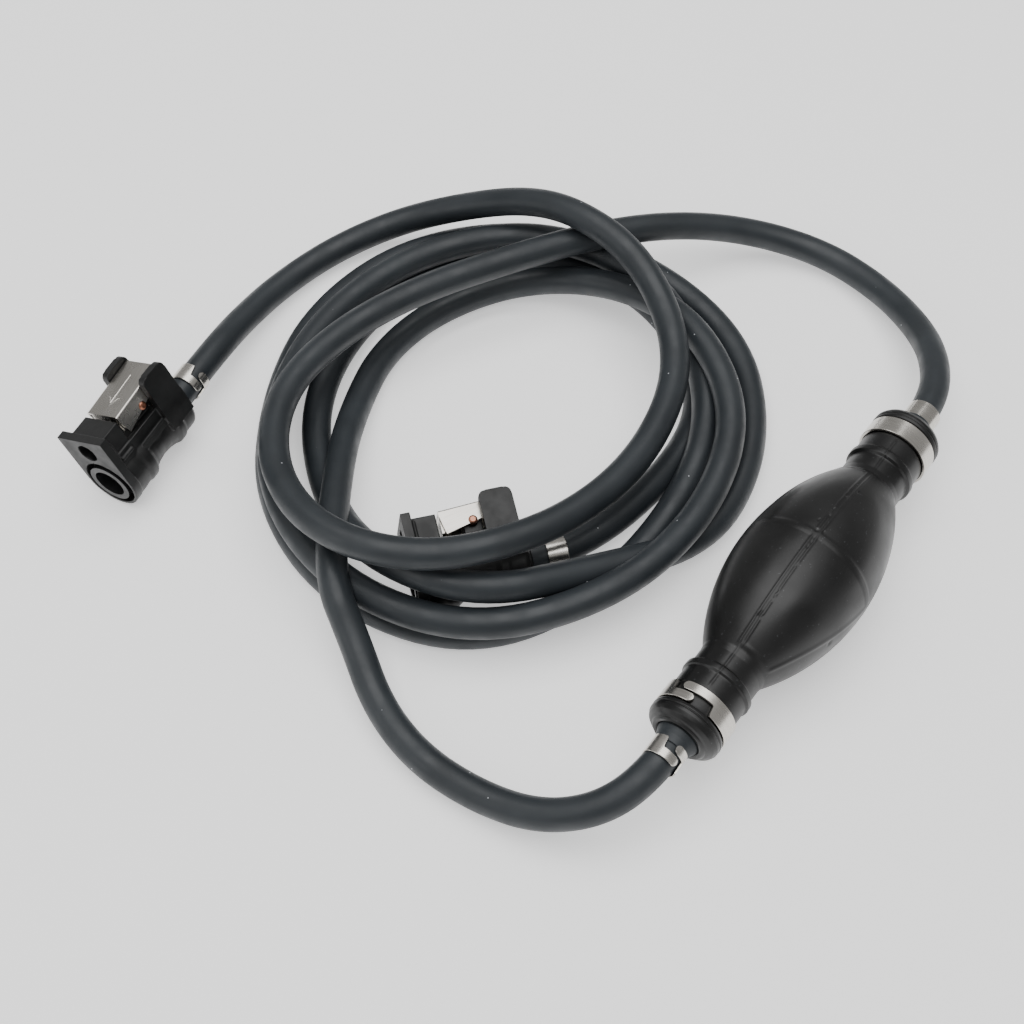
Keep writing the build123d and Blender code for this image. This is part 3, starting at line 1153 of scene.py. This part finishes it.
    @staticmethod
    def cheek_edge(x: float) -> float:
        """Height of the cheek's lower edge.

        Args:
            x: place along the lever.

        Returns:
            The height.
        """
        front, toe, heel, tail = (14.6, 21.5), (16.2, 13.9), (31.0, 17.6), (42.1, 20.0)
        for (x0, z0), (x1, z1) in ((front, toe), (toe, heel), (heel, tail)):
            if x <= x1:
                return z0 + (z1 - z0) * (x - x0) / (x1 - x0)
        return tail[1]

    @staticmethod
    def folded_path(half: float, bend: float, top: float, low: float,
                    count: int) -> list[tuple[float, float, float]]:
        """The folded sheet's section: up one cheek, over the top and down the other.

        Args:
            half: half the lever's width.
            bend: radius of the fold.
            top: height of the top plate.
            low: height of the cheek's lower edge.
            count: steps across the top plate.

        Returns:
            (y, z, distance across the sheet) of each point.
        """
        side = [(-half, low + (top - bend - low) * t / 6) for t in range(7)]
        fold = [(-half + bend - bend * math.cos(a), top - bend + bend * math.sin(a))
                for a in (math.pi / 2 * t / 5 for t in range(1, 6))]
        inner = half - bend
        across = [(-inner + 2 * inner * t / count, top) for t in range(1, count)]
        left = side + fold
        line = left + across + [(-y, z) for y, z in reversed(left)]
        result, distance = [], 0.0
        for index, (y, z) in enumerate(line):
            if index:
                distance += math.hypot(y - line[index - 1][0], z - line[index - 1][1])
            result.append((y, z, distance))
        return result

    @staticmethod
    def arrow_depth(x: float, y: float) -> float:
        """Depth of the stamped arrow, which points to the mating face.

        Args:
            x: place along the lever.
            y: place across it.

        Returns:
            The depth in millimetres.
        """
        depth = 0.0
        for (x0, y0), (x1, y1) in (((20.0, 0.0), (35.5, 0.0)), ((20.0, 0.0), (23.6, -2.6)),
                                   ((20.0, 0.0), (23.6, 2.6))):
            run = Vector((x1 - x0, y1 - y0))
            t = min(max(Vector((x - x0, y - y0)).dot(run) / run.length_squared, 0.0), 1.0)
            gap = math.hypot(x - x0 - run.x * t, y - y0 - run.y * t)
            depth = max(depth, 0.2 * math.exp(-(gap / 0.34) ** 4))
        return depth

    def front_lip(self) -> Mesh:
        """The lever's front lip, which drops behind the head of the guide pin.

        Returns:
            The closed mesh, with its flat map in metres.
        """
        outline = rounded([(-6.6, 22.6), (6.6, 22.6), (6.6, 14.6), (4.0, 13.4), (2.6, 15.2), (-2.6, 15.2),
                           (-4.0, 13.4), (-6.6, 14.6)], 0.8, 4)
        mesh = prism(outline, 14.75, 15.75)
        layer = mesh.uv_layers.new(name="flat")
        for loop in mesh.loops:
            spot = mesh.vertices[loop.vertex_index].co
            layer.data[loop.index].uv = (spot.y * MM, spot.z * MM)
        return mesh

    def build(self) -> list[Piece]:
        """Make the coupling's pieces.

        Returns:
            Every piece on the hose's end, CAD nodes among them.
        """
        here = self.matrix()
        lever_body = f"{self.prefix}_latch"
        body = place(self.moulded_body(), f"{self.prefix}_moulded_body", here, Palette.BODY.material(), 60)
        adopt(body, "root", Palette.BODY, self.node("body"))
        lever = place(self.pressed_lever(), f"{self.prefix}_pressed_lever", here, Palette.STAINLESS.material(), 30)
        adopt(lever, lever_body, Palette.STAINLESS, self.node("latch_lever"))
        lip = place(self.front_lip(), f"{self.prefix}_lever_lip", here, Palette.STAINLESS.material(), 30)
        adopt(lip, lever_body, Palette.STAINLESS)
        head = rounded([(-9.4, 0), (-9.3, 1.0), (-9.0, 1.6), (-8.4, 1.8), (-8.4, 1.5), (8.4, 1.5), (8.4, 1.8),
                        (9.0, 1.6), (9.3, 1.0), (9.4, 0)], 0.3, 3, closed=False)
        pin = lathe(head, 40)
        pin.transform(Matrix.Translation((self.pin_x, 0, self.pin_z)) @ Matrix.Rotation(math.pi / 2, 4, "Z"))
        rivet = place(pin, f"{self.prefix}_lever_rivet", here, Palette.COPPER.material(), 50)
        adopt(rivet, lever_body, Palette.COPPER, self.node("lever_pin"))
        pieces = [body, lever, lip, rivet]
        pieces.append(self.clamp.build(f"{self.prefix}_hose_band", here, self.node("hose_clamp")))
        springs = (
            CoilSpring(f"{self.prefix}_valve_spring", 3.8, 0.45, 15.3, 28.6, 6, Matrix.Identity(4),
                       f"{self.prefix}_shutoff_push", self.node("poppet_spring")),
            CoilSpring(f"{self.prefix}_latch_spring", 2.6, 0.35, self.deck_z + 0.1, 22.9, 6,
                       Matrix.Translation((37, 0, 0)) @ Matrix.Rotation(-math.pi / 2, 4, "Y"),
                       f"{self.prefix}_latch_press", self.node("lever_spring"), held_low=True),
        )
        pieces += [spring.build(here) for spring in springs]
        return pieces + self.nodes()


@dataclass
class CoilSpring:
    """A wound wire spring, made with geometry nodes along its own x axis."""

    name: str
    radius: float
    wire_radius: float
    low: float
    high: float
    turns: int
    local: Matrix
    joint: str
    node: str
    held_low: bool = False          # whether the end at low stays where it is

    @staticmethod
    def winding() -> Tree:
        """The node tree that winds a wire, shared by every spring.

        Returns:
            The tree, with inputs for turns, height, coil radius, wire radius and material.
        """
        tree = bpy.data.node_groups.get("wire_winding")
        if tree:
            return tree
        tree = bpy.data.node_groups.new("wire_winding", "GeometryNodeTree")
        tree.interface.new_socket("Geometry", in_out="INPUT", socket_type="NodeSocketGeometry")
        for name, kind in (("Turns", "Float"), ("Height", "Float"), ("Coil Radius", "Float"),
                           ("Wire Radius", "Float"), ("Material", "Material")):
            tree.interface.new_socket(name, in_out="INPUT", socket_type=f"NodeSocket{kind}")
        tree.interface.new_socket("Geometry", in_out="OUTPUT", socket_type="NodeSocketGeometry")
        given = add_node(tree, "NodeGroupInput").outputs
        spiral = add_node(tree, "GeometryNodeCurveSpiral", {
            "Resolution": 28, "Rotations": given["Turns"], "Start Radius": given["Coil Radius"],
            "End Radius": given["Coil Radius"], "Height": given["Height"]})
        section = add_node(tree, "GeometryNodeCurvePrimitiveCircle", {"Resolution": 10, "Radius": given["Wire Radius"]})
        wire = add_node(tree, "GeometryNodeCurveToMesh", {
            "Curve": spiral.outputs["Curve"], "Profile Curve": section.outputs["Curve"], "Fill Caps": True})
        real = add_node(tree, "GeometryNodeRealizeInstances", {"Geometry": wire.outputs["Mesh"]})
        dressed = add_node(tree, "GeometryNodeSetMaterial",
                           {"Geometry": real.outputs["Geometry"], "Material": given["Material"]})
        add_node(tree, "NodeGroupOutput", {"Geometry": dressed.outputs["Geometry"]})
        return tree

    def build(self, here: Matrix) -> Piece:
        """Wind the spring and place it.

        Args:
            here: the frame that the spring's own frame is given in.

        Returns:
            The spring.
        """
        holder = new_object("winding", bpy.data.meshes.new("winding"))
        winding = holder.modifiers.new("winding", "NODES")
        winding.node_group = self.winding()
        ends = 2 * self.wire_radius
        values = {"Turns": float(self.turns), "Height": self.high - self.low - ends, "Coil Radius": self.radius,
                  "Wire Radius": self.wire_radius, "Material": Palette.WIRE.material()}
        for socket in winding.node_group.interface.items_tree:
            if socket.name in values:
                winding[socket.identifier] = values[socket.name]
        mesh = baked(holder)
        stand = Matrix.Translation((self.low + self.wire_radius, 0, 0)) @ Matrix.Rotation(math.pi / 2, 4, "Y")
        axis_frame = here @ self.local
        mesh.transform(stand)
        piece = place(mesh, self.name, axis_frame, Palette.WIRE.material(), 60)
        adopt(piece, "root", Palette.WIRE, self.node)
        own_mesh(piece)
        return piece


# ---- carried-over CAD nodes, stage and camera ---------------------------------------
def dress_cad_nodes() -> None:
    """Give the CAD nodes that stay in sight their finishes. No steel one does."""
    finishes = {palette.slot: palette for palette in Palette}
    for entry in frame["record"]["subparts"]:
        piece = frame["nodes"][entry["node"]]
        palette = finishes[entry["material_slot"]]
        if palette is Palette.STAINLESS:
            continue
        for slot in piece.material_slots:
            slot.material = palette.material()


@dataclass
class Studio:
    """The pale floor, soft lights and camera."""

    target: Point = (-25.9, 113.4, 0.0)
    distance: float = 637.2
    azimuth_deg: float = -53.4
    elevation_deg: float = 55.0
    lens: float = 56.25
    floor_glow: float = 0.6         # keeps the floor near white behind the dark rubber
    sky: float = 0.32

    def floor(self) -> None:
        """Lay a plain pale floor."""
        material = bpy.data.materials.new("pale_floor")
        material.use_nodes = True
        surface = material.node_tree.nodes["Principled BSDF"]
        surface.inputs["Base Color"].default_value = linear("f8f8f8")
        surface.inputs["Roughness"].default_value = 0.8
        surface.inputs["Emission Color"].default_value = linear("ffffff")
        surface.inputs["Emission Strength"].default_value = self.floor_glow
        mesh = bpy.data.meshes.new("floor")
        mesh.from_pydata([(-6, -6, 0), (6, -6, 0), (6, 6, 0), (-6, 6, 0)], [], [(0, 1, 2, 3)])
        mesh.materials.append(material)
        new_object("floor", mesh)

    def light(self, name: str, energy: float, size: float, position: Point) -> None:
        """Hang one square softbox that faces the target.

        Args:
            name: the light's name.
            energy: its power in watts.
            size: its side in metres.
            position: where it hangs, in metres.
        """
        lamp = bpy.data.lights.new(name, "AREA")
        lamp.energy = energy
        lamp.size = size
        holder = new_object(name, lamp)
        holder.location = position
        aim = Vector([c * MM for c in self.target]) - Vector(position)
        holder.rotation_euler = aim.to_track_quat("-Z", "Y").to_euler()

    def camera(self) -> None:
        """Set the camera."""
        azimuth, elevation = math.radians(self.azimuth_deg), math.radians(self.elevation_deg)
        back = Vector((math.sin(azimuth) * math.cos(elevation), -math.cos(azimuth) * math.cos(elevation),
                       math.sin(elevation)))
        data = bpy.data.cameras.new("camera")
        data.lens = self.lens
        data.clip_start = 0.01
        holder = new_object("camera", data)
        holder.location = Vector([c * MM for c in self.target]) + back * self.distance * MM
        holder.rotation_euler = (-back).to_track_quat("-Z", "Y").to_euler()
        bpy.context.scene.camera = holder

    def build(self) -> None:
        """Set up the whole studio."""
        self.floor()
        self.light("overhead_softbox", 24.0, 1.7, (0.0, 0.15, 1.5))
        self.light("side_softbox", 3.0, 0.8, (-1.2, 0.7, 0.7))
        world = bpy.data.worlds.new("studio_air")
        world.use_nodes = True
        air = world.node_tree.nodes["Background"]
        air.inputs["Color"].default_value = (1, 1, 1, 1)
        air.inputs["Strength"].default_value = self.sky
        bpy.context.scene.world = world
        self.camera()


OUTLET_ROUTE: list[Point] = [
    (84, 0, AXIS_Z), (103, 0, AXIS_Z), (125, 10, 22.5), (145, 27, 14), (160, 52, 8), (165, 82, 7),
    (153, 111, 13), (128, 134.5, 24), (97, 154.5, 32), (62, 177, 32), (24, 198, 32), (-12, 209, 32),
    (-48, 209, 32), (-76.5, 192, 33), (-93.5, 164.5, 37), (-95.5, 135, 41), (-84, 109, 42), (-62, 91, 40),
    (-34, 80, 35), (-2, 76, 31), (29, 80, 30), (56, 91, 31), (75, 111, 36), (86, 136, 43),
    (88, 164, 45.5), (88, 189, 38), (81, 217, 24), (65, 243, 12), (38, 259, 6.5), (7, 264, 6.5),
    (-22, 260.5, 11),
]
INLET_ROUTE: list[Point] = [
    (-84, 0, AXIS_Z), (-102, 0, AXIS_Z), (-119, 8, 20), (-130, 25, 12), (-134.5, 48, 7),
    (-135, 74, 6.3), (-128, 98, 8), (-114.5, 119.5, 14), (-104, 140, 27),
]
HOSE_BAND = {"radius": 6.25, "width": 8.0, "thickness": 0.5, "first_step": 2.4, "first_tip": -4.5,
             "second_tip": 0.2, "second_step": -6.5}
NECK_BAND = {"radius": 13.2, "width": 7.6, "start_x": 68.0, "thickness": 0.9}
LONG_TONGUES = {"first_step": 0.4, "first_tip": -6.5, "second_tip": -2.7, "second_step": -9.0, "first_low": False}
BULB_END_X, COUPLING_END_X = 87.0, 52.0     # where the hose bands start


def main() -> None:
    """Build the fuel line, piece by piece."""
    logging.basicConfig(level=logging.INFO, format="%(name)s %(message)s")
    Studio().build()
    dress_cad_nodes()
    SqueezeBulb().build()
    inlet_frame, outlet_frame = along_x_frame(-1), along_x_frame()
    LockBand(**NECK_BAND, turn=-1).build("neck_band_inlet", inlet_frame, "band_clamp_inlet")
    LockBand(**NECK_BAND, lock_deg=180).build("neck_band_outlet", outlet_frame, "band_clamp_outlet")
    LockBand(**{**HOSE_BAND, **LONG_TONGUES}, start_x=BULB_END_X).build("hose_band_inlet", inlet_frame,
                                                                        "hose_clamp_inlet")
    LockBand(**HOSE_BAND, start_x=BULB_END_X, lock_deg=180).build("hose_band_outlet", outlet_frame,
                                                                  "hose_clamp_outlet")
    engine_band = LockBand(**HOSE_BAND, start_x=COUPLING_END_X, lock_deg=62, turn=-1)
    tank_band = LockBand(**HOSE_BAND, start_x=COUPLING_END_X, lock_deg=-108, creased=True)
    engine = QuickCoupling("engine", clamp=engine_band)
    tank = QuickCoupling("tank", clamp=tank_band)
    engine_pieces = engine.build()
    tank_pieces = tank.build()
    for end, low, high in (("inlet", -68.2, -59.2), ("outlet", 58.8, 67.3)):
        CoilSpring(f"check_spring_{end}_wire", 3.0, 0.35, low, high, 5, Matrix.Identity(4),
                   f"{end}_check_lift", f"check_spring_{end}").build(outlet_frame)
    Hose("outlet_hose_line", OUTLET_ROUTE + engine.hose_run()).build(
        0.985, "loose", "connector", ["outlet_hose"], engine_pieces)
    Hose("inlet_hose_line", INLET_ROUTE + LooseCoil().points() + tank.hose_run()).build(
        2.35, "coiled", "connector", ["inlet_hose", "inlet_hose_coil", "inlet_hose_tail"], tank_pieces)


if __name__ == "__main__":
    main()
